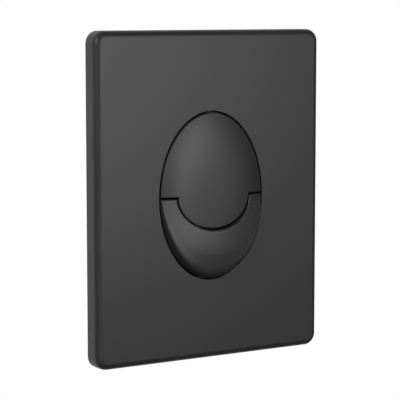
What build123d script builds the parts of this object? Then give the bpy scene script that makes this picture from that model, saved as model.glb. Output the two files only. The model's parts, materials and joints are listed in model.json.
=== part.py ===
from build123d import *
import os
from math import asin, cos, pi, sin, sqrt

# A wall plate with two air-powered flush buttons for a concealed cistern.
# X runs to the right, Z up and Y from the room into the wall. The origin is the
# middle of the plate on the wall's surface. All sizes are in millimetres.

# Cover plate
plate_width = 156.0
plate_height = 197.0
plate_depth = 12.0
plate_corner = 7.5
plate_edge = 4.0
plate_wall = 2.6

# Oval opening and the gaps round the buttons
oval_width = 72.0
oval_height = 101.0
opening_edge = 0.5
button_gap = 0.9
divide_gap = 1.0
collar_wall = 1.6
collar_depth = 3.0

# Dividing line between the buttons: a level step each side and a round tongue between
step_level = 0.0
tongue_width = 50.0
tongue_drop = 19.7

# Crowned face of the upper button, as heights above the plate
dome_crown = 3.8
dome_edge = 0.2
dome_power = 1.5

# Lip of the lower button, as heights above the plate
lip_start = 0.2
lip_climb = 8.5
lip_fall = 7.6
lip_crown = 3.6
lip_sink = 0.6
shoulder_at_horn = 0.5
shoulder_at_nose = 4.0
lip_side_wall = 3.0
lip_nose_wall = 6.0

# Both buttons
button_wall = 2.2
button_skirt = 2.4
button_edge = 0.6
button_rib = 1.2
button_rib_depth = 4.0
flange_reach = 1.2
flange_thickness = 1.2
shield_drop = 0.9
shield_gap = 0.4
shield_thickness = 1.2

# Hinges behind the plate
hinge_setback = 3.8
hinge_pin_radius = 1.5
pin_press = 0.02
pin_play = 0.05
eye_radius = 3.2
lug_radius = 3.4
lug_wall = 2.4
side_play = 0.4
arm_thickness = 3.0
arm_clearance = 0.6
full_hinge_rise = 5.5
full_eye_offset = 16.0
full_eye_width = 7.0
half_hinge_drop = 5.0
half_eye_width = 4.4
half_lug_wall = 4.0
half_arm_height = 6.4

# Rest stops of the buttons
tab_thickness = 1.8
tab_reach = 4.0
tab_width = 8.0
full_tab_level = 10.0
buffer_thickness = 0.8
buffer_gap = 0.2
buffer_margin = 1.0

# Mounting frame on the wall
frame_side_inset = 9.0
frame_end_inset = 9.5
frame_corner = 6.0
frame_thickness = 3.0
frame_lug_gap = 2.2
frame_end_flange = 19.0
frame_rim = 1.6
frame_rim_height = 1.2
sleeve_end_inset = 8.0
sleeve_screw_gap = 0.2
sleeve_wall = 2.0
sleeve_depth = 9.0

# Snap hooks that hold the plate on the frame, and the posts that it seats on
hook_level = 50.0
hook_width = 10.0
hook_thickness = 1.8
hook_play = 0.4
hook_catch = 1.2
hook_catch_depth = 1.0
hook_wall_gap = 0.4
pocket_play = 0.5
pocket_roof_gap = 0.1
post_radius = 3.0
post_inset = 9.0
plate_rib = 1.4
plate_rib_depth = 3.0
side_rib_gap = 2.2
level_rib_gap = 3.6

# Screws that hold the frame to the cistern's inspection shaft
fixing_radius = 2.5
fixing_length = 32.0
fixing_shank_radius = 2.2
fixing_shank_length = 14.0
fixing_head_radius = 4.2
fixing_head_height = 3.2
fixing_slot_play = 0.3
fixing_slot_length = 12.0
washer_radius = 5.0
washer_thickness = 1.0
washer_play = 0.2
washer_rim_gap = 0.4
drive_slot_width = 1.2
drive_slot_depth = 1.4

# Bracket that carries the two air pumps
bracket_ear_margin = 2.0
bracket_thickness = 2.5
bracket_corner = 5.0
bracket_edge_rib = 1.8
bracket_edge_depth = 3.6
bracket_setback = 12.8
bracket_end_gap = 0.6
bracket_window_width = 34.0
bracket_window_height = 18.0
bracket_window_margin = 8.0
bracket_screw_inset = 3.6
boss_radius = 4.0

# Small self-tapping screws
tapper_radius = 1.4
tapper_play = 0.05
tapper_through_play = 0.3
tapper_head_radius = 2.7
tapper_head_height = 1.8
tapper_pump_gap = 5.0
tapper_grip = 6.2
tapper_slot_width = 0.8
tapper_slot_depth = 0.9

# Air pumps
full_pump_level = 16.0
half_pump_level = -32.0
pump_radius = 17.0
pump_wall = 1.8
pump_floor = 2.0
pump_flange = 3.0
pump_ear_radius = 5.0
pump_ear_thickness = 2.4
pump_seat_play = 0.3
pump_chamber = 17.2
cap_thickness = 2.4
cap_spigot = 1.0
cap_spigot_wall = 2.0
cap_fit = 0.1
nose_radius = 6.0
nose_play = 0.15
nose_setback = 1.3
nose_edge = 1.0
push_gap = 0.3
pusher_radius = 4.0
pusher_round = 2.4
plunger_flange_play = 1.0
plunger_flange = 1.8
plunger_rest_gap = 0.1
spring_post = 2.7
spring_post_radius = 6.0
nipple_radius = 2.3
nipple_bore = 1.3
nipple_length = 12.0
nipple_tip = 0.5

# Rubber bellows and coil spring in each pump
bellows_folds = 4
bellows_wall = 0.8
bellows_spring_gap = 1.6
bellows_crest_play = 1.2
bellows_lip = 1.2
spring_wire = 0.55
spring_play = 0.9
spring_turns = 6
wire_sides = 8

# Depths worked out from the sizes above
face_y = -plate_depth
inner_y = face_y + plate_wall
collar_y = inner_y + collar_depth
hinge_y = inner_y + hinge_setback
arm_y = collar_y + arm_clearance
stop_y = collar_y + buffer_gap + buffer_thickness
skirt_y = collar_y + button_skirt
frame_y = -frame_thickness
nose_y = skirt_y + nose_setback
bracket_y = skirt_y + bracket_setback
pump_rim_y = bracket_y - pump_ear_thickness
cap_y = pump_rim_y - cap_thickness
flange_y = pump_rim_y + cap_spigot + plunger_rest_gap
chamber_y = flange_y + plunger_flange
floor_y = chamber_y + pump_chamber
pump_back_y = floor_y + pump_floor

# Outlines worked out from the sizes above
opening_a = oval_width / 2
opening_b = oval_height / 2
button_a = opening_a - button_gap
button_b = opening_b - button_gap
half_gap = divide_gap / 2
full_hinge_z = opening_b + full_hinge_rise
half_hinge_z = step_level - half_hinge_drop
half_eye_x = opening_a + collar_wall + side_play + half_eye_width / 2
half_lug_x = half_eye_x + half_eye_width / 2 + side_play
half_lug_end = half_lug_x + half_lug_wall
frame_width = plate_width - 2 * frame_side_inset
frame_height = plate_height - 2 * frame_end_inset
frame_opening_width = 2 * (half_lug_end + frame_lug_gap)
frame_opening_height = frame_height - 2 * frame_end_flange
fixing_x = frame_opening_width / 2 + frame_rim + washer_rim_gap + washer_radius
fixing_slot_half = fixing_radius + fixing_slot_play
sleeve_width = 2 * (fixing_x + fixing_slot_half + sleeve_screw_gap + sleeve_wall)
sleeve_height = frame_height - 2 * sleeve_end_inset
side_rib_x = half_lug_end + side_rib_gap
level_rib_z = full_hinge_z + lug_radius + level_rib_gap
boss_x = pump_radius + tapper_pump_gap
bracket_width = 2 * (boss_x + pump_ear_radius + bracket_ear_margin)
bracket_height = sleeve_height - 2 * sleeve_wall - 2 * bracket_end_gap
bracket_screw_z = bracket_height / 2 - bracket_screw_inset
spring_radius = spring_post_radius + spring_play + spring_wire
bellows_root = spring_radius + spring_wire + bellows_spring_gap + bellows_wall
BEYOND = 3 * plate_height


def slab(outline, front, back):
    """A flat outline on the wall plane, made solid from depth front to depth back."""
    return extrude(Plane.XZ.offset(-back) * outline, back - front)


def rod_across(radius, start, end, y, z):
    """A round bar along X."""
    return extrude(Plane.YZ.offset(start) * Pos(y, z) * Circle(radius), end - start)


def turned(points, x, z):
    """A turned piece whose axis runs into the wall, from points of radius and depth."""
    profile = Plane.XZ * make_face(Polyline(*points, close=True))
    return Pos(x, 0, z) * Rot(-90, 0, 0) * revolve(profile, Axis.Z)


def both_sides(piece):
    """A piece and its mirror image in the plane X = 0."""
    return piece + mirror(piece, Plane.YZ)


def full_outline(inset):
    """Outline of the upper button: the oval above the step, and the tongue below it."""
    floor = step_level + half_gap + inset
    above = Pos(0, floor + button_b) * Rectangle(4 * button_a, 2 * button_b)
    tongue_a = tongue_width / 2 - half_gap - inset
    tongue_b = tongue_drop - half_gap - inset
    arc = EllipticalCenterArc((0, step_level), tongue_a, tongue_b, 135, arc_size=270)
    tongue = make_face(arc + Line(arc @ 1, arc @ 0))
    return Ellipse(button_a - inset, button_b - inset) & (above + tongue)


def block_behind(height, sink):
    """Everything behind a button face given by its height function, moved back by sink."""
    steps = 13
    reach = 1.08
    rows = []
    for i in range(steps):
        x = reach * button_a * (2 * i / (steps - 1) - 1)
        row = []
        for k in range(steps):
            z = reach * button_b * (2 * k / (steps - 1) - 1)
            row.append((x, face_y - height(x, z) + sink, z))
        rows.append(row)
    face = Face.make_surface_from_array_of_points(rows, tol=0.001)
    return extrude(face, BEYOND, dir=(0, 1, 0))


def dome_height(x, z):
    """Height of the upper button above the plate."""
    out = (x / button_a) ** 2 + (z / button_b) ** 2
    return dome_edge + (dome_crown - dome_edge) * (1 - out**dome_power)


def lip_height(x, z):
    """Height of the lower button above the plate, away from its rounded edges.

    The face climbs from the step and rolls over again towards the nose.
    """
    down = (step_level - z) / button_b
    rise = lip_climb * down - lip_fall * down**3
    return lip_start + rise + lip_crown * (1 - (x / button_a) ** 2)


def round_drop(distance, radius):
    """How far a rounded edge of a radius lies below the face, at a distance from the edge."""
    short = min(max(radius - distance, 0.0), radius)
    return radius - sqrt(radius**2 - short**2)


def lip_block():
    """Everything behind the face of the lower button, rounded edges included.

    The face is ruled from the oval's rim to the tongue's. Along each line it climbs a round
    shoulder, which is widest at the nose of the lip, follows lip_height and rounds off again
    at the tongue. Both ends round off at the step.
    """
    inner_a = tongue_width / 2 + half_gap
    inner_b = tongue_drop + half_gap
    outer_start = asin(half_gap / button_b)
    inner_start = asin(half_gap / inner_b)
    end_steps = [0, 0.08, 0.3, 0.65, 1.0, 1.6, 2.4]
    ends = [button_edge * step / button_b for step in end_steps]
    sweep_turn = pi - 2 * outer_start
    middle_count = 36
    first = ends[-1]
    middle = [first + (sweep_turn - 2 * first) * i / middle_count for i in range(1, middle_count)]
    turns = ends + middle + [sweep_turn - end for end in reversed(ends)]
    shoulder_count, plain_count, edge_count = 8, 6, 4

    rows = []
    for turn in turns:
        share = turn / sweep_turn
        outer_angle = pi + outer_start + turn
        inner_angle = pi + inner_start + (pi - 2 * inner_start) * share
        outer = (button_a * cos(outer_angle), button_b * sin(outer_angle))
        inner = (inner_a * cos(inner_angle), inner_b * sin(inner_angle))
        length = sqrt((outer[0] - inner[0]) ** 2 + (outer[1] - inner[1]) ** 2)
        down = -sin(outer_angle)
        width = shoulder_at_horn + (shoulder_at_nose - shoulder_at_horn) * down**2

        places = []
        for k in range(shoulder_count + 1):
            lean = pi / 2 * k / shoulder_count
            places.append((width * (1 - cos(lean)), sin(lean)))
        plain = length - button_edge - width
        for k in range(1, plain_count + 1):
            places.append((width + plain * k / plain_count, 1.0))
        for k in range(1, edge_count + 1):
            lean = pi / 2 * k / edge_count
            places.append((length - button_edge * (1 - sin(lean)), 1.0))

        row = []
        for place, lift in places:
            part = place / length
            x = outer[0] + (inner[0] - outer[0]) * part
            z = outer[1] + (inner[1] - outer[1]) * part
            height = (lip_height(x, step_level + z) + lip_sink) * lift - lip_sink
            height -= round_drop(length - place, button_edge)
            height -= round_drop(-half_gap - z, button_edge)
            row.append((x, face_y - height, step_level + z))
        rows.append(row)
    face = Face.make_surface_from_array_of_points(rows, tol=0.002)
    return extrude(face, BEYOND, dir=(0, 1, 0))


def half_hollow_outline():
    """Outline of the lower button's hollow: a crescent that leaves the lip's nose thick."""
    top = step_level - half_gap - button_wall
    below = Pos(0, top - button_b) * Rectangle(4 * button_a, 2 * button_b)
    around = Ellipse(button_a - lip_side_wall, button_b - lip_nose_wall)
    tongue_a = tongue_width / 2 + half_gap + button_wall
    tongue_b = tongue_drop + half_gap + button_wall
    return (around & below) - Pos(0, step_level) * Ellipse(tongue_a, tongue_b)


def behind(y):
    """The half space behind a depth."""
    return slab(Rectangle(BEYOND, BEYOND), y, BEYOND)


def pusher(z, start_y):
    """Round-nosed stud on a button's back that presses on a pump's plunger."""
    tip_y = nose_y - push_gap
    stud = slab(Pos(0, z) * Circle(pusher_radius), start_y, tip_y)
    tip = stud.faces().sort_by(Axis.Y)[-1]
    return fillet(tip.edges(), pusher_round)


def panel(x_start, x_end, z_start, z_end):
    """A rectangle from its edges."""
    middle = Pos((x_start + x_end) / 2, (z_start + z_end) / 2)
    return middle * Rectangle(x_end - x_start, z_end - z_start)


def stop_tab(x_start, x_end, z_start, z_end):
    """Flat tab on a button's skirt that lies behind the plate's collar."""
    return slab(panel(x_start, x_end, z_start, z_end), stop_y, stop_y + tab_thickness)


def rim_flange(z_start, z_end):
    """Thin flange round a button's skirt, which closes the gap to the plate from behind."""
    ring = Ellipse(opening_a + flange_reach, opening_b + flange_reach)
    ring -= Ellipse(button_a - button_wall / 2, button_b - button_wall / 2)
    band = panel(-BEYOND, BEYOND, z_start, z_end)
    return slab(ring & band, stop_y, stop_y + flange_thickness)


def step_shield():
    """Angled strip on the upper button that closes the gap at the step from behind."""
    low = step_level + half_gap
    front = skirt_y + shield_gap
    back = front + shield_thickness
    x_start = tongue_width / 2 - half_gap - button_wall / 2
    x_end = opening_a + flange_reach
    stem = slab(panel(x_start, button_a, low, low + button_wall), skirt_y - shield_thickness, back)
    foot = slab(panel(x_start, x_end, step_level - shield_drop, low + button_wall), front, back)
    return stem + foot


def buffer_pad(x, z, width, height):
    """Rubber pad on a stop tab."""
    return slab(Pos(x, z) * Rectangle(width, height), stop_y - buffer_thickness, stop_y)


def full_tab_edge():
    """Where the collar's outer wall lies at the level of the upper button's tabs."""
    return (opening_a + collar_wall) * sqrt(1 - (full_tab_level / (opening_b + collar_wall)) ** 2)


def make_full_button():
    shell = slab(full_outline(0), -BEYOND, skirt_y) & block_behind(dome_height, 0)
    face = shell.faces().sort_by(Axis.Y)[0]
    shell = fillet(face.edges(), button_edge)
    block = shell
    hollow = slab(full_outline(button_wall), -BEYOND, BEYOND) & block_behind(dome_height, button_wall)
    shell -= hollow
    rib_y = face_y + button_rib_depth
    upright = Rectangle(button_rib, 2 * button_b)
    level = Pos(0, full_pump_level) * Rectangle(2 * button_a, button_rib)
    stud = Pos(0, full_pump_level) * Circle(pusher_radius)
    shell += slab(upright + level + stud, -BEYOND, rib_y) & block
    shell += pusher(full_pump_level, rib_y)
    arm_foot = button_b * sqrt(1 - ((full_eye_offset + full_eye_width / 2) / button_a) ** 2) - button_wall
    arm_mid = (arm_foot + full_hinge_z) / 2
    arm = Pos(full_eye_offset, arm_mid) * Rectangle(full_eye_width, full_hinge_z - arm_foot)
    shell += both_sides(slab(arm, arm_y, arm_y + arm_thickness))
    eye_start = full_eye_offset - full_eye_width / 2
    eye_end = full_eye_offset + full_eye_width / 2
    shell += both_sides(rod_across(eye_radius, eye_start, eye_end, hinge_y, full_hinge_z))
    tab_root = button_a * sqrt(1 - (full_tab_level / button_b) ** 2) - button_wall
    tab_end = full_tab_edge() + tab_reach
    tab_low = full_tab_level - tab_width / 2
    shell += both_sides(stop_tab(tab_root, tab_end, tab_low, tab_low + tab_width))
    shell += rim_flange(step_level + half_gap, BEYOND)
    shell += both_sides(step_shield())
    bore = rod_across(hinge_pin_radius + pin_play, -eye_end - 1, eye_end + 1, hinge_y, full_hinge_z)
    return shell - bore


def make_half_button():
    block = lip_block() - behind(skirt_y)
    hollow = slab(half_hollow_outline(), -BEYOND, BEYOND) & block_behind(lip_height, button_wall)
    shell = block - hollow
    rib_y = face_y + button_rib_depth
    stud = Pos(0, half_pump_level) * Circle(pusher_radius)
    rib = Pos(0, half_pump_level) * Rectangle(2 * button_a, button_rib)
    shell += slab(stud + rib, -BEYOND, rib_y) & block
    shell += pusher(half_pump_level, rib_y)
    eye_start = half_eye_x - half_eye_width / 2
    eye_end = half_eye_x + half_eye_width / 2
    arm_start = button_a - button_wall
    arm_mid = (arm_start + eye_end) / 2
    arm = Pos(arm_mid, half_hinge_z) * Rectangle(eye_end - arm_start, half_arm_height)
    shell += both_sides(slab(arm, arm_y, arm_y + arm_thickness))
    shell += both_sides(rod_across(eye_radius, eye_start, eye_end, hinge_y, half_hinge_z))
    tab_end = -opening_b - collar_wall - tab_reach
    shell += stop_tab(-tab_width / 2, tab_width / 2, tab_end, -button_b + button_wall)
    shell += rim_flange(-BEYOND, half_hinge_z)
    bore = rod_across(hinge_pin_radius + pin_play, eye_start - 1, eye_end + 1, hinge_y, half_hinge_z)
    return shell - both_sides(bore)


def make_full_buffers():
    x = full_tab_edge() + tab_reach / 2 - buffer_margin
    return both_sides(buffer_pad(x, full_tab_level, tab_reach, tab_width - 2 * buffer_margin))


def make_half_buffer():
    z = -opening_b - collar_wall - tab_reach / 2 + buffer_margin
    return buffer_pad(0, z, tab_width - 2 * buffer_margin, tab_reach)


def hinge_lug(x_start, x_end, z):
    """Bearing lug on the plate's back: a tongue with a round end about the hinge pin."""
    root = inner_y - plate_wall / 2
    web = Pos((root + hinge_y) / 2, z) * Rectangle(hinge_y - root, 2 * lug_radius)
    outline = web + Pos(hinge_y, z) * Circle(lug_radius)
    return extrude(Plane.YZ.offset(x_start) * outline, x_end - x_start)


def snap_hook(z):
    """Springy hook that grips behind the edge of the mounting frame."""
    root_y = inner_y - plate_wall / 2
    end_y = -hook_wall_gap
    stem_x = frame_width / 2 + hook_play
    catch_x = stem_x - hook_catch
    catch_y = end_y - hook_catch_depth
    points = [
        (stem_x, root_y),
        (stem_x + hook_thickness, root_y),
        (stem_x + hook_thickness, end_y),
        (stem_x, end_y),
        (catch_x, catch_y),
        (stem_x, catch_y),
    ]
    profile = Plane.XY * make_face(Polyline(*points, close=True))
    return Pos(0, 0, z - hook_width / 2) * extrude(profile, hook_width)


def make_front_plate():
    outer = slab(RectangleRounded(plate_width, plate_height, plate_corner), face_y, 0)
    outer = fillet(outer.faces().sort_by(Axis.Y)[0].edges(), plate_edge)
    inner_width = plate_width - 2 * plate_wall
    inner_height = plate_height - 2 * plate_wall
    cavity = RectangleRounded(inner_width, inner_height, plate_corner - plate_wall)
    inner = slab(cavity, inner_y, BEYOND)
    inner = fillet(inner.faces().sort_by(Axis.Y)[0].edges(), plate_edge - plate_wall)
    plate = outer - inner

    root_y = inner_y - plate_wall / 2
    rib_y = inner_y + plate_rib_depth
    upright = Rectangle(plate_rib, inner_height)
    level = Rectangle(inner_width, plate_rib)
    ribs = Pos(side_rib_x, 0) * upright + Pos(-side_rib_x, 0) * upright
    ribs += Pos(0, level_rib_z) * level + Pos(0, -level_rib_z) * level
    plate += slab(ribs, root_y, rib_y)
    plate += slab(Ellipse(opening_a + collar_wall, opening_b + collar_wall), root_y, collar_y)
    plate -= slab(Ellipse(opening_a, opening_b), -BEYOND, BEYOND)
    mouth = plate.faces().sort_by(Axis.Y)[0].inner_wires()[0].edges()
    plate = fillet(mouth, opening_edge)

    full_in = full_eye_offset - full_eye_width / 2 - side_play
    full_out = full_eye_offset + full_eye_width / 2 + side_play
    lugs = hinge_lug(full_in - lug_wall, full_in, full_hinge_z)
    lugs += hinge_lug(full_out, full_out + lug_wall, full_hinge_z)
    lugs += hinge_lug(half_lug_x, half_lug_end, half_hinge_z)
    hooks = snap_hook(hook_level) + snap_hook(-hook_level)
    post_x = frame_width / 2 - post_inset
    post_z = frame_height / 2 - post_inset
    posts = slab(Pos(post_x, post_z) * Circle(post_radius), root_y, frame_y)
    posts += slab(Pos(post_x, -post_z) * Circle(post_radius), root_y, frame_y)
    plate += both_sides(lugs + hooks + posts)
    bore = hinge_pin_radius + pin_press
    plate -= rod_across(bore, -full_out - lug_wall - 1, full_out + lug_wall + 1, hinge_y, full_hinge_z)
    half_bore = rod_across(bore, half_lug_x - 1, half_lug_end + 1, hinge_y, half_hinge_z)
    return plate - both_sides(half_bore)


def make_full_pin():
    reach = full_eye_offset + full_eye_width / 2 + side_play + lug_wall
    return rod_across(hinge_pin_radius, -reach, reach, hinge_y, full_hinge_z)


def make_half_pin():
    start = half_eye_x - half_eye_width / 2
    return rod_across(hinge_pin_radius, start, half_lug_end, hinge_y, half_hinge_z)


def make_mounting_frame():
    opening = RectangleRounded(frame_opening_width, frame_opening_height, frame_corner)
    flange = RectangleRounded(frame_width, frame_height, frame_corner)
    frame = slab(flange - opening, frame_y, 0)
    frame += slab(offset(opening, frame_rim) - opening, frame_y - frame_rim_height, frame_y)
    sleeve = RectangleRounded(sleeve_width, sleeve_height, frame_corner)
    frame += slab(sleeve - offset(sleeve, -sleeve_wall), 0, sleeve_depth)
    screw_points = [(x, z) for x in (-boss_x, boss_x) for z in (-bracket_screw_z, bracket_screw_z)]
    bosses = [Pos(x, z) * Circle(boss_radius) for x, z in screw_points]
    pilots = [Pos(x, z) * Circle(tapper_radius + tapper_play) for x, z in screw_points]
    frame += slab(Sketch() + bosses, frame_y, bracket_y)
    frame -= slab(Sketch() + pilots, bracket_y - tapper_grip - 1, BEYOND)
    slot = SlotOverall(fixing_slot_length, 2 * fixing_slot_half, rotation=90)
    slots = Pos(fixing_x, 0) * slot + Pos(-fixing_x, 0) * slot
    frame -= slab(slots, -BEYOND, BEYOND)
    pocket_width = hook_catch - hook_play + pocket_play
    pocket_y = -hook_wall_gap - hook_catch_depth - pocket_roof_gap
    pocket = Rectangle(2 * pocket_width, hook_width + 2 * pocket_play)
    edge = frame_width / 2
    places = [(x, z) for x in (-edge, edge) for z in (-hook_level, hook_level)]
    pockets = [Pos(x, z) * pocket for x, z in places]
    return frame - slab(Sketch() + pockets, pocket_y, 0)


def drive_slot(x, z, radius, width, top_y, floor_y):
    """The slot across a screw's head, from the head's top to the slot's floor."""
    across = Pos(x, z) * Rectangle(4 * radius, width)
    return slab(across, min(top_y, floor_y), max(top_y, floor_y))


def make_fixing_screw(side):
    """Screw with a plain shank in the frame and a thicker threaded end in the cistern."""
    x = side * fixing_x
    seat_y = frame_y - washer_thickness
    top_y = seat_y - fixing_head_height
    thread_y = seat_y + fixing_shank_length
    tip_y = seat_y + fixing_length
    step = fixing_radius - fixing_shank_radius
    points = [
        (0, top_y),
        (fixing_head_radius, top_y),
        (fixing_head_radius, seat_y),
        (fixing_shank_radius, seat_y),
        (fixing_shank_radius, thread_y - step),
        (fixing_radius, thread_y),
        (fixing_radius, tip_y - fixing_radius),
        (fixing_radius / 2, tip_y),
        (0, tip_y),
    ]
    slot = drive_slot(x, 0, fixing_head_radius, drive_slot_width, top_y, top_y + drive_slot_depth)
    return turned(points, x, 0) - slot


def make_fixing_washer(side):
    ring = Circle(washer_radius) - Circle(fixing_radius + washer_play)
    return slab(Pos(side * fixing_x, 0) * ring, frame_y - washer_thickness, frame_y)


def tapper(x, z, head_y, tip_y):
    """Small screw with its head's seat at head_y and its tip at tip_y."""
    toward = 1 if tip_y > head_y else -1
    top_y = head_y - toward * tapper_head_height
    points = [
        (0, top_y),
        (tapper_head_radius, top_y),
        (tapper_head_radius, head_y),
        (tapper_radius, head_y),
        (tapper_radius, tip_y - toward * tapper_radius),
        (tapper_radius / 2, tip_y),
        (0, tip_y),
    ]
    slot_y = top_y + toward * tapper_slot_depth
    slot = drive_slot(x, z, tapper_head_radius, tapper_slot_width, top_y, slot_y)
    return turned(points, x, z) - slot


def make_bracket_screws():
    head_y = bracket_y + bracket_thickness
    places = [(x, z) for x in (-boss_x, boss_x) for z in (-bracket_screw_z, bracket_screw_z)]
    return Compound(children=[tapper(x, z, head_y, bracket_y - tapper_grip) for x, z in places])


def make_pump_screws():
    tip_y = bracket_y + tapper_grip
    places = [(x, z) for x in (-boss_x, boss_x) for z in (full_pump_level, half_pump_level)]
    return Compound(children=[tapper(x, z, cap_y, tip_y) for x, z in places])


def make_pump_bracket():
    plate = RectangleRounded(bracket_width, bracket_height, bracket_corner)
    back_y = bracket_y + bracket_thickness
    bracket = slab(plate, bracket_y, back_y)
    edge_x = (bracket_width - bracket_edge_rib) / 2
    edge_length = bracket_height - 2 * bracket_corner
    edge = Pos(edge_x, 0) * Rectangle(bracket_edge_rib, edge_length)
    bracket += both_sides(slab(edge, bracket_y, back_y + bracket_edge_depth))
    pump_points = [(x, z) for x in (-boss_x, boss_x) for z in (full_pump_level, half_pump_level)]
    bosses = [Pos(x, z) * Circle(boss_radius) for x, z in pump_points]
    bracket += slab(Sketch() + bosses, bracket_y, bracket_y + tapper_grip)
    pilots = [Pos(x, z) * Circle(tapper_radius + tapper_play) for x, z in pump_points]
    bracket -= slab(Sketch() + pilots, -BEYOND, BEYOND)
    frame_points = [(x, z) for x in (-boss_x, boss_x) for z in (-bracket_screw_z, bracket_screw_z)]
    holes = [Pos(x, z) * Circle(tapper_radius + tapper_through_play) for x, z in frame_points]
    seat = Circle(pump_radius + pump_seat_play)
    window_z = full_pump_level + pump_radius + bracket_window_margin + bracket_window_height / 2
    window = RectangleRounded(bracket_window_width, bracket_window_height, bracket_corner)
    seats = Pos(0, full_pump_level) * seat + Pos(0, half_pump_level) * seat
    cuts = Sketch() + holes + seats + Pos(0, window_z) * window
    return bracket - slab(cuts, -BEYOND, BEYOND)


def pump_ears():
    return Circle(pump_radius + pump_flange) + SlotCenterToCenter(2 * boss_x, 2 * pump_ear_radius)


def ear_holes():
    hole = Circle(tapper_radius + tapper_through_play)
    return Pos(boss_x, 0) * hole + Pos(-boss_x, 0) * hole


def make_pump_housing(z):
    ears = slab(Pos(0, z) * (pump_ears() - ear_holes()), pump_rim_y, bracket_y)
    inside = pump_radius - pump_wall
    body = slab(Pos(0, z) * Circle(pump_radius), pump_rim_y, pump_back_y)
    body = fillet(body.edges().sort_by(Axis.Y)[-1], pump_floor)
    nipple_end = pump_back_y + nipple_length
    nipple = slab(Pos(0, z) * Circle(nipple_radius), floor_y, nipple_end)
    nipple = chamfer(nipple.edges().sort_by(Axis.Y)[-1], nipple_tip)
    hollow = slab(Pos(0, z) * Circle(inside), -BEYOND, floor_y)
    bore = slab(Pos(0, z) * Circle(nipple_bore), -BEYOND, BEYOND)
    return ears + body + nipple - hollow - bore


def make_pump_cap(z):
    hole = Circle(nose_radius + nose_play)
    cap = slab(Pos(0, z) * (pump_ears() - ear_holes() - hole), cap_y, pump_rim_y)
    outer = pump_radius - pump_wall - cap_fit
    spigot = Circle(outer) - Circle(outer - cap_spigot_wall)
    return cap + slab(Pos(0, z) * spigot, pump_rim_y, pump_rim_y + cap_spigot)


def make_plunger(z):
    flange = pump_radius - pump_wall - plunger_flange_play
    post_end = chamber_y + spring_post
    points = [
        (0, nose_y),
        (nose_radius - nose_edge, nose_y),
        (nose_radius, nose_y + nose_edge),
        (nose_radius, flange_y),
        (flange, flange_y),
        (flange, chamber_y),
        (spring_post_radius, chamber_y),
        (spring_post_radius, post_end),
        (0, post_end),
    ]
    return turned(points, 0, z)


def make_bellows(z):
    """Folded rubber wall between the plunger's flange and the pump's floor."""
    crest = pump_radius - pump_wall - bellows_crest_play
    root = bellows_root
    start = chamber_y + bellows_lip
    end = floor_y - bellows_lip
    pitch = (end - start) / bellows_folds
    outside = [(crest, chamber_y), (crest, start)]
    inside = [(root - bellows_wall, chamber_y), (root - bellows_wall, start)]
    for fold in range(bellows_folds):
        middle = start + pitch * (fold + 0.5)
        below = start + pitch * (fold + 1)
        if fold == 0:
            outside.append((root + bellows_wall, start + bellows_wall))
            inside.append((root, start + bellows_wall))
        outside += [(crest, middle), (root + bellows_wall, below - bellows_wall / 2)]
        inside += [(crest - bellows_wall, middle), (root, below - bellows_wall / 2)]
    outside += [(crest, end), (crest, floor_y)]
    inside += [(root - bellows_wall, end), (root - bellows_wall, floor_y)]
    return turned(outside + inside[::-1], 0, z)


def make_spring(z):
    """Coil spring round the plunger's post, its wire drawn with a few flat sides."""
    height = floor_y - chamber_y - 2 * spring_wire
    path = Helix(height / spring_turns, height, spring_radius)
    section = Plane(path @ 0, z_dir=path % 0) * RegularPolygon(spring_wire, wire_sides)
    coil = sweep(section, path=path)
    return Pos(0, chamber_y + spring_wire, z) * Rot(-90, 0, 0) * coil


pieces = {
    "front_plate": make_front_plate(),
    "full_flush_button": make_full_button(),
    "half_flush_button": make_half_button(),
    "full_flush_buffers": make_full_buffers(),
    "half_flush_buffer": make_half_buffer(),
    "full_flush_hinge_pin": make_full_pin(),
    "half_flush_hinge_pin_right": make_half_pin(),
    "half_flush_hinge_pin_left": mirror(make_half_pin(), Plane.YZ),
    "mounting_frame": make_mounting_frame(),
    "fixing_screw_left": make_fixing_screw(-1),
    "fixing_screw_right": make_fixing_screw(1),
    "fixing_washer_left": make_fixing_washer(-1),
    "fixing_washer_right": make_fixing_washer(1),
    "pump_bracket": make_pump_bracket(),
    "bracket_screws": make_bracket_screws(),
    "pump_screws": make_pump_screws(),
}
for name, level in (("full_flush", full_pump_level), ("half_flush", half_pump_level)):
    pieces[name + "_pump_housing"] = make_pump_housing(level)
    pieces[name + "_pump_cap"] = make_pump_cap(level)
    pieces[name + "_plunger"] = make_plunger(level)
    pieces[name + "_bellows"] = make_bellows(level)
    pieces[name + "_spring"] = make_spring(level)

os.makedirs("parts", exist_ok=True)
for name, piece in pieces.items():
    export_step(piece, f"parts/{name}.step")
    box = piece.bounding_box()
    print(f"{name}: {piece.volume:.1f} mm3, {box.min} to {box.max}")
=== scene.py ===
# %% [markdown]
# # A dual-flush button plate in matt black
#
# The object is a moulded wall plate for a concealed cistern. An oval in its middle holds two
# buttons: a large domed one with a round tongue, and a crescent with a proud lip below it. Behind
# the plate sit a mounting frame, two small air pumps and the screws. The solids come from the
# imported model, so this lesson dresses them: it gives every solid a finish, models the pieces that
# a plain solid can't show, and sets up the studio.

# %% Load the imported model
import json
import math

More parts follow.
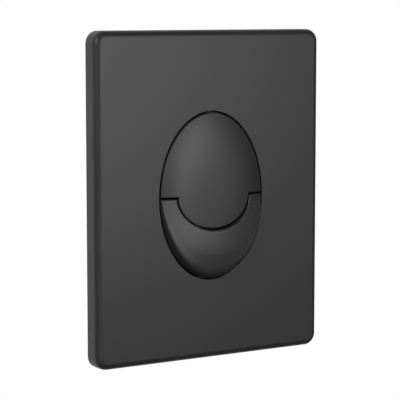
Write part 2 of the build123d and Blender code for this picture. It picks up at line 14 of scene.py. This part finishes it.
import bmesh
import bpy
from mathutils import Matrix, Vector


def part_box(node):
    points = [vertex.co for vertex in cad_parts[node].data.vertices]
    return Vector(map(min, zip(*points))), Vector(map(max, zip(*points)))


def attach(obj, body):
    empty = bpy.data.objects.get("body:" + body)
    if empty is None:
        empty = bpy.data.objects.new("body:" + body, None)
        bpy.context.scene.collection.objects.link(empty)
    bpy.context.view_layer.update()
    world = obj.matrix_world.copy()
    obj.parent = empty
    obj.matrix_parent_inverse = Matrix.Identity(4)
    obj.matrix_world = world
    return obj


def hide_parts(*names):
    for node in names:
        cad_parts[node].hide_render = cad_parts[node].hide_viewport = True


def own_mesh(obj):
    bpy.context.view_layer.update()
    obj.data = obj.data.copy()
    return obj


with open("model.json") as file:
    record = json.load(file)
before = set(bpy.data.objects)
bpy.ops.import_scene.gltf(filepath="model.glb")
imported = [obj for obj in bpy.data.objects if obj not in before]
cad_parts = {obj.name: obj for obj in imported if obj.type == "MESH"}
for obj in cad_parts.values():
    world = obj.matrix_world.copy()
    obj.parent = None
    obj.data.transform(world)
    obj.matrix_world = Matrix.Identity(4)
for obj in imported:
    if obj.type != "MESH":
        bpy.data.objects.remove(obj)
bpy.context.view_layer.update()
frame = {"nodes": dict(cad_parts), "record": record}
MM = 0.001
print("solids:", len(frame["nodes"]))

# %% [markdown]
# ## Finishes as sums
#
# A finish is a small network of nodes. Wiring it by hand takes many lines, so a socket is wrapped
# in a class with plus, minus and times, and a sum of two sockets adds its own Math node. All other
# nodes come from one method, which takes the node's type, its settings and its inputs. The room's
# light is a network too, so both share the same base.

# %% A socket that can be added and multiplied
class Wire:
    """An output socket that takes part in sums, as a number does."""

    def __init__(self, network, socket):
        self.network = network
        self.socket = socket

    def sum(self, operation, first, second):
        """Add a Math node for one operation."""
        return self.network.add("ShaderNodeMath", {"operation": operation}, {0: first, 1: second})

    def __add__(self, other):
        return self.sum("ADD", self, other)

    def __radd__(self, other):
        return self.sum("ADD", other, self)

    def __sub__(self, other):
        return self.sum("SUBTRACT", self, other)

    def __rsub__(self, other):
        return self.sum("SUBTRACT", other, self)

    def __mul__(self, other):
        return self.sum("MULTIPLY", self, other)

    def __rmul__(self, other):
        return self.sum("MULTIPLY", other, self)


print("sockets take plus, minus and times")

# %% A network that is built node by node
class Network:
    """The nodes of one finish, or of the room."""

    def __init__(self, tree):
        self.nodes = tree.nodes
        self.links = tree.links

    def add(self, kind, settings=None, inputs=None, output=0):
        """Add any node: its settings first, then the values or links of its sockets."""
        node = self.nodes.new(kind)
        for name, value in (settings or {}).items():
            setattr(node, name, value)
        for name, value in (inputs or {}).items():
            self.plug(node.inputs[name], value)
        return Wire(self, node.outputs[output])

    def plug(self, socket, value):
        """Link a wire to an input socket, or set a plain value on it."""
        if isinstance(value, Wire):
            self.links.new(value.socket, socket)
        else:
            socket.default_value = value


class Finish(Network):
    """One material, with a Principled shader at its end."""

    def __init__(self, name):
        self.material = bpy.data.materials.new(name)
        self.material.use_nodes = True
        super().__init__(self.material.node_tree)
        self.shader = self.nodes["Principled BSDF"]
        self.place = self.add("ShaderNodeTexCoord", output="Object")

    def noise(self, scale, detail=2.0):
        """A soft pattern in the piece's own coordinates, with so many waves to the metre."""
        inputs = {"Vector": self.place, "Scale": scale, "Detail": detail, "Roughness": 0.5}
        return self.add("ShaderNodeTexNoise", inputs=inputs)

    def blend(self, factor, first, second):
        """Go from one colour to another. A Mix node's colours are its inputs 6 and 7."""
        inputs = {"Factor": factor, 6: first, 7: second}
        return self.add("ShaderNodeMix", {"data_type": "RGBA"}, inputs, output=2)

    def bump(self, height, depth):
        """Tilt the surface as a relief of this depth would."""
        inputs = {"Height": height, "Distance": depth, "Strength": 1.0}
        return self.add("ShaderNodeBump", inputs=inputs)

    def set(self, **values):
        """Fill sockets of the Principled shader, named with _ for each space."""
        for name, value in values.items():
            self.plug(self.shader.inputs[name.replace("_", " ")], value)
        return self.material


print("finish classes ready")

# %% [markdown]
# ## Matt black plastic
#
# Plate and buttons are moulded in black plastic with a spark-eroded skin: a fine even grain that
# scatters the lamp's reflection into a soft sheen. The grain is far smaller than a pixel here, so
# it shows as roughness, and a shallow bump gives it body in close views. A slow change of
# roughness keeps the broad face from looking like a computer's flat colour.

# %% Make the matt black
GRAIN_SCALE = 2600.0
GRAIN_DEPTH = 0.012 * MM


def rgb(r, g, b):
    return (r, g, b, 1.0)


def grey(level):
    return rgb(level, level, level)


def matt_black():
    finish = Finish("matt_black_plastic")
    grain = finish.noise(GRAIN_SCALE, detail=3.0)
    cloud = finish.noise(18.0)
    colour = finish.blend(cloud, rgb(0.0185, 0.0185, 0.0182), rgb(0.0205, 0.0205, 0.0200))
    return finish.set(
        Base_Color=colour,
        Roughness=0.40 + cloud * 0.03 + grain * 0.03,
        Specular_IOR_Level=0.25,
        Normal=finish.bump(grain, GRAIN_DEPTH),
    )


black = matt_black()
print("made", black.name)

# %% [markdown]
# ## Finishes behind the plate
#
# What sits in the wall isn't meant to be seen, so it is plain engineering plastic: a light grey
# frame and bracket, white pumps, blue plungers that a fitter can tell apart, black rubber and
# zinc-plated screws. Finishes of one kind differ only in colour and gloss, so one function makes
# each kind. A little noise in colour and roughness is enough, since they are seen from afar.

# %% Make the hidden finishes
MOULD_GRAIN_SCALE = 1500.0
MOULD_GRAIN_DEPTH = 0.01 * MM
RUBBER_DUST_DEPTH = 0.02 * MM


def moulded(name, light, dark, roughness):
    finish = Finish(name)
    cloud = finish.noise(40.0, detail=3.0)
    grain = finish.noise(MOULD_GRAIN_SCALE)
    return finish.set(
        Base_Color=finish.blend(cloud, dark, light),
        Roughness=roughness + grain * 0.08,
        Normal=finish.bump(grain, MOULD_GRAIN_DEPTH),
    )


def soft_rubber():
    finish = Finish("soft_rubber")
    dust = finish.noise(220.0, detail=4.0)
    return finish.set(
        Base_Color=finish.blend(dust, grey(0.018), rgb(0.034, 0.034, 0.033)),
        Roughness=0.55 + dust * 0.15,
        Normal=finish.bump(dust, RUBBER_DUST_DEPTH),
    )


def metal(name, light, dark, roughness, grain_scale):
    finish = Finish(name)
    stain = finish.noise(grain_scale, detail=4.0)
    return finish.set(
        Base_Color=finish.blend(stain, dark, light),
        Metallic=1.0,
        Roughness=roughness + stain * 0.12,
    )


finishes = {
    "black_plastic": black,
    "frame_plastic": moulded("grey_frame_plastic", rgb(0.46, 0.47, 0.47), rgb(0.41, 0.42, 0.42), 0.42),
    "pump_plastic": moulded("white_pump_plastic", rgb(0.78, 0.78, 0.75), rgb(0.72, 0.72, 0.69), 0.28),
    "plunger_plastic": moulded("blue_plunger_plastic", rgb(0.05, 0.13, 0.36), rgb(0.04, 0.11, 0.31), 0.38),
    "rubber": soft_rubber(),
    "plated_steel": metal("zinc_plated_steel", rgb(0.66, 0.64, 0.57), rgb(0.54, 0.53, 0.50), 0.24, 260.0),
    "bright_steel": metal("bright_wire", grey(0.72), grey(0.60), 0.16, 500.0),
}
print("finishes:", sorted(finishes))

# %% [markdown]
# ## Dress the solids
#
# Each solid could be given its finish by name, but the record already names a material slot for
# every one, so a single loop does it and no solid is forgotten. The solids themselves are never
# moved or reshaped.

# %% Give every solid its finish
for part in frame["record"]["subparts"]:
    node = frame["nodes"][part["node"]]
    node.data.materials.clear()
    node.data.materials.append(finishes[part["material_slot"]])

# %% [markdown]
# ## Tools for the new pieces
#
# The pieces below start as a circle or a cylinder and are shaped by Blender's own operators. An
# operator works on whatever is selected, and the solids are selected after loading, so each start
# clears the selection first. Faces are chosen by where they point or lie, and a modifier is applied
# as soon as it is set, which leaves a plain mesh. What the object has twice is modelled once and
# copied, before either of the two is handed in.

# %% Small helpers for modelling
ALONG_Y = (-math.pi / 2, 0.0, 0.0)
DOUBLES_WITHIN = 0.001 * MM


def start_shape():
    """Settle the place of the new primitive in its mesh and open it for editing."""
    bpy.ops.object.transform_apply(location=True, rotation=True, scale=True)
    bpy.ops.object.mode_set(mode="EDIT")
    return bpy.context.object


def pick_faces(test):
    """Select the faces of the open mesh that pass a test."""
    bpy.ops.mesh.select_mode(type="FACE")
    bpy.ops.mesh.select_all(action="DESELECT")
    mesh = bmesh.from_edit_mesh(bpy.context.object.data)
    for face in mesh.faces:
        face.select_set(test(face))
    bmesh.update_edit_mesh(bpy.context.object.data)


def face_outwards():
    """Merge doubles, turn all faces outwards and leave edit mode."""
    bpy.ops.mesh.select_all(action="SELECT")
    bpy.ops.mesh.remove_doubles(threshold=DOUBLES_WITHIN)
    bpy.ops.mesh.normals_make_consistent(inside=False)
    bpy.ops.object.mode_set(mode="OBJECT")


def modify(kind, **settings):
    """Put a modifier on the active piece and apply it."""
    modifier = bpy.context.object.modifiers.new(kind.lower(), kind)
    for name, value in settings.items():
        setattr(modifier, name, value)
    bpy.ops.object.modifier_apply(modifier=modifier.name)


def round_edges(width, degrees):
    """Round the edges of the active piece that are sharper than an angle."""
    modify("BEVEL", width=width, segments=3, limit_method="ANGLE", angle_limit=math.radians(degrees))


def smooth(degrees):
    """Shade the active piece smooth, except over edges sharper than an angle."""
    bpy.ops.object.shade_smooth_by_angle(angle=math.radians(degrees))


def copy_by(piece, offset):
    """A copy of a piece, with a mesh of its own, moved by an offset."""
    bpy.ops.object.select_all(action="DESELECT")
    piece.select_set(True)
    bpy.context.view_layer.objects.active = piece
    bpy.ops.object.duplicate(linked=False)
    bpy.ops.transform.translate(value=offset)
    bpy.ops.object.transform_apply(location=True, rotation=True, scale=True)
    return bpy.context.object


def hand_in(piece, name, slot, body="cover", node=None):
    """Name a piece, finish it, fix it to a body, and let it stand for a solid if one is given."""
    piece.name = name
    piece.data.name = name
    piece.data.materials.clear()
    piece.data.materials.append(finishes[slot])
    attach(piece, body)
    if node:
        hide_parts(node)
    print(name, "has", len(piece.data.polygons), "faces")


print("modelling helpers ready")

# %% [markdown]
# ## Rubber bellows
#
# Each pump holds a folded rubber wall that pushes air down a hose and springs back. A rigid solid
# can't shorten, so this one is modelled again as a thin skin. It could be spun from a profile, but
# then the profile has to be drawn first. Instead a ring of edges is drawn out fold by fold, wider
# and narrower in turn, as a potter pulls up a wall. A bevel rounds the folds, and Solidify gives
# the skin its thickness. The pumps are alike, so the second skin is a copy, and each skin is then
# given a mesh of its own.

# %% Draw out the bellows
FOLDS = 4
CUFF = 1.2 * MM
BORE = 9.8 * MM
VALLEY = 11.3 * MM
RUBBER_WALL = 0.7 * MM
FOLD_ROUND = 0.5 * MM


def fold_rings(start, end, crest):
    """Radius and depth of each ring, from the front rim to the floor."""
    pitch = (end - start - 2 * CUFF) / FOLDS
    rings = [(crest, start), (crest, start + CUFF)]
    for fold in range(FOLDS):
        front = start + CUFF + fold * pitch
        rings.append((VALLEY, front + pitch * 0.5))
        rings.append((crest, front + pitch))
    return rings + [(crest, end), (BORE, end)]


def draw_out_bellows(pump):
    low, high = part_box(pump + "_bellows")
    middle = (low + high) / 2
    bpy.ops.object.select_all(action="DESELECT")
    place = (middle.x, low.y, middle.z)
    bpy.ops.mesh.primitive_circle_add(vertices=72, radius=BORE, location=place, rotation=ALONG_Y)
    piece = start_shape()
    bpy.ops.mesh.select_all(action="SELECT")
    radius, depth = BORE, low.y
    for next_radius, next_depth in fold_rings(low.y, high.y, (high.x - low.x) / 2):
        bpy.ops.mesh.extrude_region_move(TRANSFORM_OT_translate={"value": (0, next_depth - depth, 0)})
        share = next_radius / radius
        centre = (middle.x, next_depth, middle.z)
        bpy.ops.transform.resize(value=(share, 1, share), center_override=centre)
        radius, depth = next_radius, next_depth
    face_outwards()
    round_edges(FOLD_ROUND, 25)
    modify("SOLIDIFY", thickness=RUBBER_WALL, offset=-1.0)
    smooth(40)
    return piece


def squash_on_floor(piece):
    """Give a piece a mesh of its own."""
    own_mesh(piece)


def for_both_pumps(piece):
    """The upper button's piece, and a copy of it in the lower button's pump."""
    upper, lower = [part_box(pump + "_bellows")[0] for pump in ("full_flush", "half_flush")]
    return {"full_flush": piece, "half_flush": copy_by(piece, lower - upper)}


for pump, skin in for_both_pumps(draw_out_bellows("full_flush")).items():
    hand_in(skin, pump + "_bellows_skin", "rubber", node=pump + "_bellows")
    squash_on_floor(skin)

# %% [markdown]
# ## Return springs
#
# A wire spring inside each bellows pushes the button back out. Its end coils lie closed on
# themselves, so that it stands flat, and only the coils between are open. A curve with a round bevel
# could follow such a path, but its points have to be worked out one by one. Here a small circle is
# wound round the pump's axis by the Screw modifier, once for each closed end and once for the open
# middle, and the three runs are joined where their rings meet.

# %% Wind the springs
WIRE = 0.55 * MM
COIL = 7.45 * MM
OPEN_TURNS = 4
RUNS_MEET_WITHIN = 0.01 * MM


def wind(middle, start, pitch, turns):
    """One run of the wire from a ring at start, rising by pitch with every turn."""
    bpy.ops.object.select_all(action="DESELECT")
    bpy.ops.mesh.primitive_circle_add(vertices=12, radius=WIRE, location=(middle.x, start, middle.z))
    bpy.ops.object.mode_set(mode="EDIT")
    bpy.ops.mesh.select_all(action="SELECT")
    bpy.ops.transform.translate(value=(COIL, 0, 0))
    bpy.ops.object.mode_set(mode="OBJECT")
    modify("SCREW", axis="Y", screw_offset=pitch, iterations=turns, steps=40, render_steps=40)
    bpy.ops.object.transform_apply(location=True, rotation=True, scale=True)
    return bpy.context.object


def wind_spring(pump):
    low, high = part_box(pump + "_spring")
    middle = (low + high) / 2
    closed = 2 * WIRE
    height = high.y - low.y - closed
    lift = (height - 2 * closed) / OPEN_TURNS
    start = low.y + WIRE
    runs = [
        wind(middle, start, closed, 1),
        wind(middle, start + closed, lift, OPEN_TURNS),
        wind(middle, start + height - closed, closed, 1),
    ]
    for run in runs:
        run.select_set(True)
    bpy.ops.object.join()
    piece = bpy.context.object
    bpy.ops.object.mode_set(mode="EDIT")
    bpy.ops.mesh.select_all(action="SELECT")
    bpy.ops.mesh.remove_doubles(threshold=RUNS_MEET_WITHIN)
    bpy.ops.mesh.fill_holes(sides=12)
    face_outwards()
    smooth(50)
    return piece


for pump, spring in for_both_pumps(wind_spring("full_flush")).items():
    hand_in(spring, pump + "_wire_spring", "bright_steel", node=pump + "_spring")
    squash_on_floor(spring)

# %% [markdown]
# ## Fixing screws
#
# Two long screws hold the frame to the cistern: a rounded slotted head, a plain shank and a
# thread that grips in the cistern's sockets. The core could be turned from a profile. It starts as
# the head's cylinder here, because its underside can then be inset and drawn out to the tip, and
# each length stays a value with a name.

# %% Shape one screw's core
HEAD = 4.2 * MM
HEAD_HEIGHT = 3.2 * MM
HEAD_ROUND = 1.1 * MM
HEAD_RIM = 0.2 * MM
SHANK = 2.2 * MM
THREAD_ROOT = 2.05 * MM
THREAD_CREST = 2.5 * MM
THREAD_PITCH = 0.8 * MM
THREAD_START = 14.0 * MM
TIP_LENGTH = 2.5 * MM
TIP_SHARE = 0.5


def draw_out(length, share=1.0):
    """Extrude the selected end along the screw and scale it about its own middle."""
    bpy.ops.mesh.extrude_region_move(TRANSFORM_OT_translate={"value": (0, length, 0)})
    mesh = bmesh.from_edit_mesh(bpy.context.object.data)
    end = next(face for face in mesh.faces if face.select).calc_center_median()
    bpy.ops.transform.resize(value=(share, 1, share), center_override=end)


def screw_core(axis, top, tip):
    """Head, shank, root of the thread and tip in one piece."""
    bpy.ops.object.select_all(action="DESELECT")
    place = (axis.x, top + HEAD_HEIGHT / 2, axis.z)
    bpy.ops.mesh.primitive_cylinder_add(
        vertices=48, radius=HEAD, depth=HEAD_HEIGHT, location=place, rotation=ALONG_Y
    )
    piece = start_shape()
    pick_faces(lambda face: face.normal.y < -0.9)
    bpy.ops.mesh.bevel(offset=HEAD_ROUND, segments=5, affect="EDGES")
    pick_faces(lambda face: face.normal.y > 0.9)
    bpy.ops.mesh.bevel(offset=HEAD_RIM, segments=2, affect="EDGES")
    pick_faces(lambda face: face.normal.y > 0.99)
    bpy.ops.mesh.inset(thickness=HEAD - HEAD_RIM - SHANK)
    step = THREAD_CREST - SHANK
    seat = top + HEAD_HEIGHT
    draw_out(THREAD_START - step)
    draw_out(step, THREAD_ROOT / SHANK)
    draw_out(tip - TIP_LENGTH - seat - THREAD_START)
    draw_out(TIP_LENGTH, TIP_SHARE * THREAD_CREST / THREAD_ROOT)
    face_outwards()
    return piece


low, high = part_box("fixing_screw_left")
screw_axis = (low + high) / 2
left_screw = screw_core(screw_axis, low.y, high.y)
print("core runs from", round(low.y / MM, 2), "to", round(high.y / MM, 2), "mm")

# %% [markdown]
# ## Slot and thread
#
# A saw cuts the slot of a real screw, and a cube does so here. A rolled thread could be left to a
# bump, but it shows from behind and from the side, so it is a true helix: a three-sided ring wound
# along the shank by the Screw modifier, with its base sunk in the core.

# %% Cut the slot and wind the thread
SLOT_WIDTH = 1.2 * MM
SLOT_DEPTH = 1.4 * MM
THREAD_SUNK = 0.1 * MM
THREAD_LEAD_IN = 0.4 * MM
THREAD_LEAD_OUT = 0.2 * MM
FLANK_SHARE = 0.45


def cut_slot(piece, axis, top):
    """Take a straight slot out of the head with a cube."""
    bpy.ops.object.select_all(action="DESELECT")
    place = (axis.x, top, axis.z)
    sides = (3 * HEAD, 2 * SLOT_DEPTH, SLOT_WIDTH)
    bpy.ops.mesh.primitive_cube_add(size=1.0, location=place, scale=sides)
    cutter = bpy.context.object
    bpy.context.view_layer.objects.active = piece
    modify("BOOLEAN", operation="DIFFERENCE", object=cutter, solver="EXACT")
    bpy.data.objects.remove(cutter)


def wind_thread(axis, start, turns):
    """A three-sided ridge wound round the screw, its base sunk in the core."""
    sunk = THREAD_ROOT - THREAD_SUNK
    reach = THREAD_CREST - sunk
    radius = reach / 1.5
    bpy.ops.object.select_all(action="DESELECT")
    bpy.ops.mesh.primitive_circle_add(
        vertices=3, radius=radius, location=(axis.x, start, axis.z), rotation=(0, 0, -math.pi / 2)
    )
    bpy.ops.object.transform_apply(location=False, rotation=True, scale=True)
    bpy.ops.object.mode_set(mode="EDIT")
    bpy.ops.mesh.select_all(action="SELECT")
    flank = FLANK_SHARE * THREAD_PITCH / (radius * math.sin(math.pi / 3))
    bpy.ops.transform.resize(value=(1, flank, 1), center_override=(axis.x, start, axis.z))
    bpy.ops.transform.translate(value=(sunk + reach / 3, 0, 0))
    bpy.ops.object.mode_set(mode="OBJECT")
    modify("SCREW", axis="Y", screw_offset=THREAD_PITCH, iterations=turns, steps=32, render_steps=32)
    ridge = bpy.context.object
    start_shape()
    bpy.ops.mesh.select_all(action="SELECT")
    bpy.ops.mesh.fill_holes(sides=3)
    face_outwards()
    return ridge


cut_slot(left_screw, screw_axis, low.y)
thread_from = low.y + HEAD_HEIGHT + THREAD_START + THREAD_LEAD_IN
thread_to = high.y - TIP_LENGTH - THREAD_LEAD_OUT
turns = int((thread_to - thread_from) / THREAD_PITCH)
ridge = wind_thread(screw_axis, thread_from, turns)
left_screw.select_set(True)
bpy.context.view_layer.objects.active = left_screw
bpy.ops.object.join()
smooth(35)
print("thread has", turns, "turns")

# %% Copy the screw to the other side
right_screw = copy_by(left_screw, (-2 * screw_axis.x, 0, 0))
hand_in(left_screw, "left_threaded_screw", "plated_steel", node="fixing_screw_left")
hand_in(right_screw, "right_threaded_screw", "plated_steel", node="fixing_screw_right")

# %% [markdown]
# ## Splash flange
#
# When the upper button goes in, a gap opens beside it. A thin rubber flange on the back of its
# shield covers that gap from behind and keeps water and light out of the wall. It is a band round
# the oval, kept only at the two sides. It could be cut from a plane, but a ring follows the oval by
# itself. A circle of 1 mm radius is scaled to the band's inner edge, so the half width and half
# height stand in millimetres, and it is drawn outwards once. Two cuts take away the top and the
# bottom, and Solidify makes a sheet of it. Its two lower ends are drawn out into aprons that step
# back a little, so they pass behind the hinge lugs of the lower button.

# %% Cut the splash flange
FLANGE_MIDDLE = Vector((0, -1.9, 0)) * MM
FLANGE_THICKNESS = 1.0 * MM
FLANGE_ROUND = 0.15 * MM
INNER_HALF_WIDTH = 33.5
INNER_HALF_HEIGHT = 48.0
OUTER_HALF_WIDTH = 46.0
OUTER_HALF_HEIGHT = 60.0
FLANGE_BOTTOM = -1.7 * MM
FLANGE_TOP = 28.0 * MM
APRON_STEP = Vector((0, 0.3, -0.6)) * MM
APRON_DROP = Vector((0, 0, -6.0)) * MM

bpy.ops.object.select_all(action="DESELECT")
bpy.ops.mesh.primitive_circle_add(vertices=96, radius=MM, location=FLANGE_MIDDLE, rotation=ALONG_Y)
flange = start_shape()
bpy.ops.mesh.select_mode(type="EDGE")
bpy.ops.mesh.select_all(action="SELECT")
inner = (INNER_HALF_WIDTH, 1, INNER_HALF_HEIGHT)
spread = (OUTER_HALF_WIDTH / INNER_HALF_WIDTH, 1, OUTER_HALF_HEIGHT / INNER_HALF_HEIGHT)
bpy.ops.transform.resize(value=inner, center_override=FLANGE_MIDDLE)
bpy.ops.mesh.extrude_region_move(TRANSFORM_OT_translate={"value": (0, 0, 0)})
bpy.ops.transform.resize(value=spread, center_override=FLANGE_MIDDLE)
for level, away in ((FLANGE_BOTTOM, -1), (FLANGE_TOP, 1)):
    bpy.ops.mesh.select_all(action="SELECT")
    bpy.ops.mesh.bisect(plane_co=(0, 0, level), plane_no=(0, 0, away), clear_outer=True)
face_outwards()
modify("SOLIDIFY", thickness=FLANGE_THICKNESS, offset=0.0)
bpy.ops.object.mode_set(mode="EDIT")
pick_faces(lambda face: face.normal.z < -0.9)
for step in (APRON_STEP, APRON_DROP):
    bpy.ops.mesh.extrude_region_move(TRANSFORM_OT_translate={"value": step})
face_outwards()
round_edges(FLANGE_ROUND, 40)
smooth(40)
hand_in(flange, "splash_flange", "rubber", "full_flush")

# %% [markdown]
# ## Camera
#
# The view is a long lens from the front left and a little above, as in a catalogue. A near camera
# would make the plate's far side look much smaller, so the lens is long and the camera stands a
# metre away. Place and lens were fitted to the plate's corners and the oval's edge, and the camera
# has no shift.

# %% Set up the camera
CAMERA_PLACE = Vector((-0.5295, -0.8551, 0.1123))
CAMERA_AIM = Vector((-0.0009, -0.0002, -0.00369))
LENS_MM = 150.99
SENSOR_MM = 36.0

bpy.ops.object.camera_add(location=CAMERA_PLACE)
camera = bpy.context.object
camera.rotation_euler = (CAMERA_AIM - CAMERA_PLACE).to_track_quat("-Z", "Y").to_euler()
camera.data.sensor_width = SENSOR_MM
camera.data.lens = LENS_MM
bpy.context.scene.camera = camera
print("camera is", round((CAMERA_AIM - CAMERA_PLACE).length, 3), "m away")

# %% [markdown]
# ## Studio
#
# Matt black shows its form by what it mirrors. One soft box to the right of the camera lies where
# the flat face mirrors it, so the face is grey there and falls off towards the lower right. A
# second one far to the left lights the plate's side wall and the left flanks of the buttons. A weak
# third one, low beside the camera, fills the lower button's lip. Each lamp is placed by its direction
# from the plate, and its level is the radiance of its face, so a lamp of another size still looks
# as bright in a reflection.

# %% Place the soft boxes
def soft_box(name, azimuth, elevation, distance, width, height, radiance):
    """An area lamp that faces the plate, in a direction given in degrees from the plate's front."""
    az, el = math.radians(azimuth), math.radians(elevation)
    toward = Vector((math.sin(az) * math.cos(el), -math.cos(az) * math.cos(el), math.sin(el)))
    bpy.ops.object.light_add(type="AREA", location=toward * distance)
    lamp = bpy.context.object
    lamp.name = name
    lamp.rotation_euler = (-toward).to_track_quat("-Z", "Y").to_euler()
    lamp.data.shape = "RECTANGLE"
    lamp.data.size = width
    lamp.data.size_y = height
    lamp.data.energy = radiance * math.pi * width * height
    return lamp


soft_box("key_soft_box", 18, 6, distance=1.2, width=0.41, height=0.47, radiance=16.8)
soft_box("left_soft_box", -66, 25, distance=1.5, width=0.69, height=0.64, radiance=11.4)
soft_box("camera_soft_box", -28, -12, distance=1.5, width=0.75, height=0.75, radiance=2.4)

# %% [markdown]
# ## Room
#
# A studio's dark front and white back wall could be built of planes, but a background that changes
# with direction does the same with a few nodes. The room in front is dark, which keeps rounded
# edges dark, and the room behind is white. The camera itself sees white all round, so that the
# background stays clean from every side.

# %% Make the room
BACK_LEVEL = 1.0
FADE_START = 0.10
FADE_END = 0.25

room = bpy.data.worlds.new("studio_room")
bpy.context.scene.world = room
room.use_nodes = True
air = Network(room.node_tree)
direction = air.add("ShaderNodeTexCoord", output="Generated")
depth = air.add("ShaderNodeSeparateXYZ", inputs={0: direction}, output="Y")
behind = air.add(
    "ShaderNodeMapRange",
    {"interpolation_type": "SMOOTHSTEP"},
    {"Value": depth, "From Min": FADE_START, "From Max": FADE_END, "To Min": 0.0, "To Max": BACK_LEVEL},
)
seen = air.add("ShaderNodeLightPath", output="Is Camera Ray")
sky = room.node_tree.nodes["Background"]
air.plug(sky.inputs["Color"], grey(1.0))
air.plug(sky.inputs["Strength"], seen + (1 - seen) * behind)
print("room is white behind, at", BACK_LEVEL)

# %% [markdown]
# ## Floor
#
# A pale floor lies below and behind the plate, which hangs on a wall in use. It is small enough to
# stay out of the picture from the front. To the camera, and in mirrors and glass, it is nearly as
# white as the room, so that its edges don't draw the eye, and a tenth of it is real shading, which
# keeps a shadow. Two shaders are mixed by the kind of ray that arrives.

# %% Lay the floor
FLOOR_LEVEL = -0.6
FLOOR_START = 0.2
FLOOR_SIZE = 1.4
FLOOR_GLOW = 0.9

bpy.ops.object.select_all(action="DESELECT")
bpy.ops.mesh.primitive_plane_add(size=FLOOR_SIZE, location=(0, FLOOR_START + FLOOR_SIZE / 2, FLOOR_LEVEL))
floor = bpy.context.object
floor.name = "floor"
pale = Finish("pale_floor")
speckle = pale.noise(12.0)
pale.set(Base_Color=pale.blend(speckle, grey(0.86), grey(0.90)), Roughness=0.9)
seen_rays = ("Is Camera Ray", "Is Glossy Ray", "Is Transmission Ray")
camera_ray, glossy_ray, glass_ray = [pale.add("ShaderNodeLightPath", output=name) for name in seen_rays]
glow = pale.add("ShaderNodeEmission", inputs={"Color": grey(1.0), "Strength": 1.0})
shaded = Wire(pale, pale.shader.outputs[0])
share = (camera_ray + glossy_ray + glass_ray) * FLOOR_GLOW
mixed = pale.add("ShaderNodeMixShader", inputs={0: share, 1: shaded, 2: glow})
pale.plug(pale.nodes["Material Output"].inputs["Surface"], mixed)
floor.data.materials.append(pale.material)
print("floor at", FLOOR_LEVEL, "m")

# %% [markdown]
# ## Colour view
#
# Colours are shown as they are.

# %% Finish
bpy.context.scene.view_settings.view_transform = "Standard"
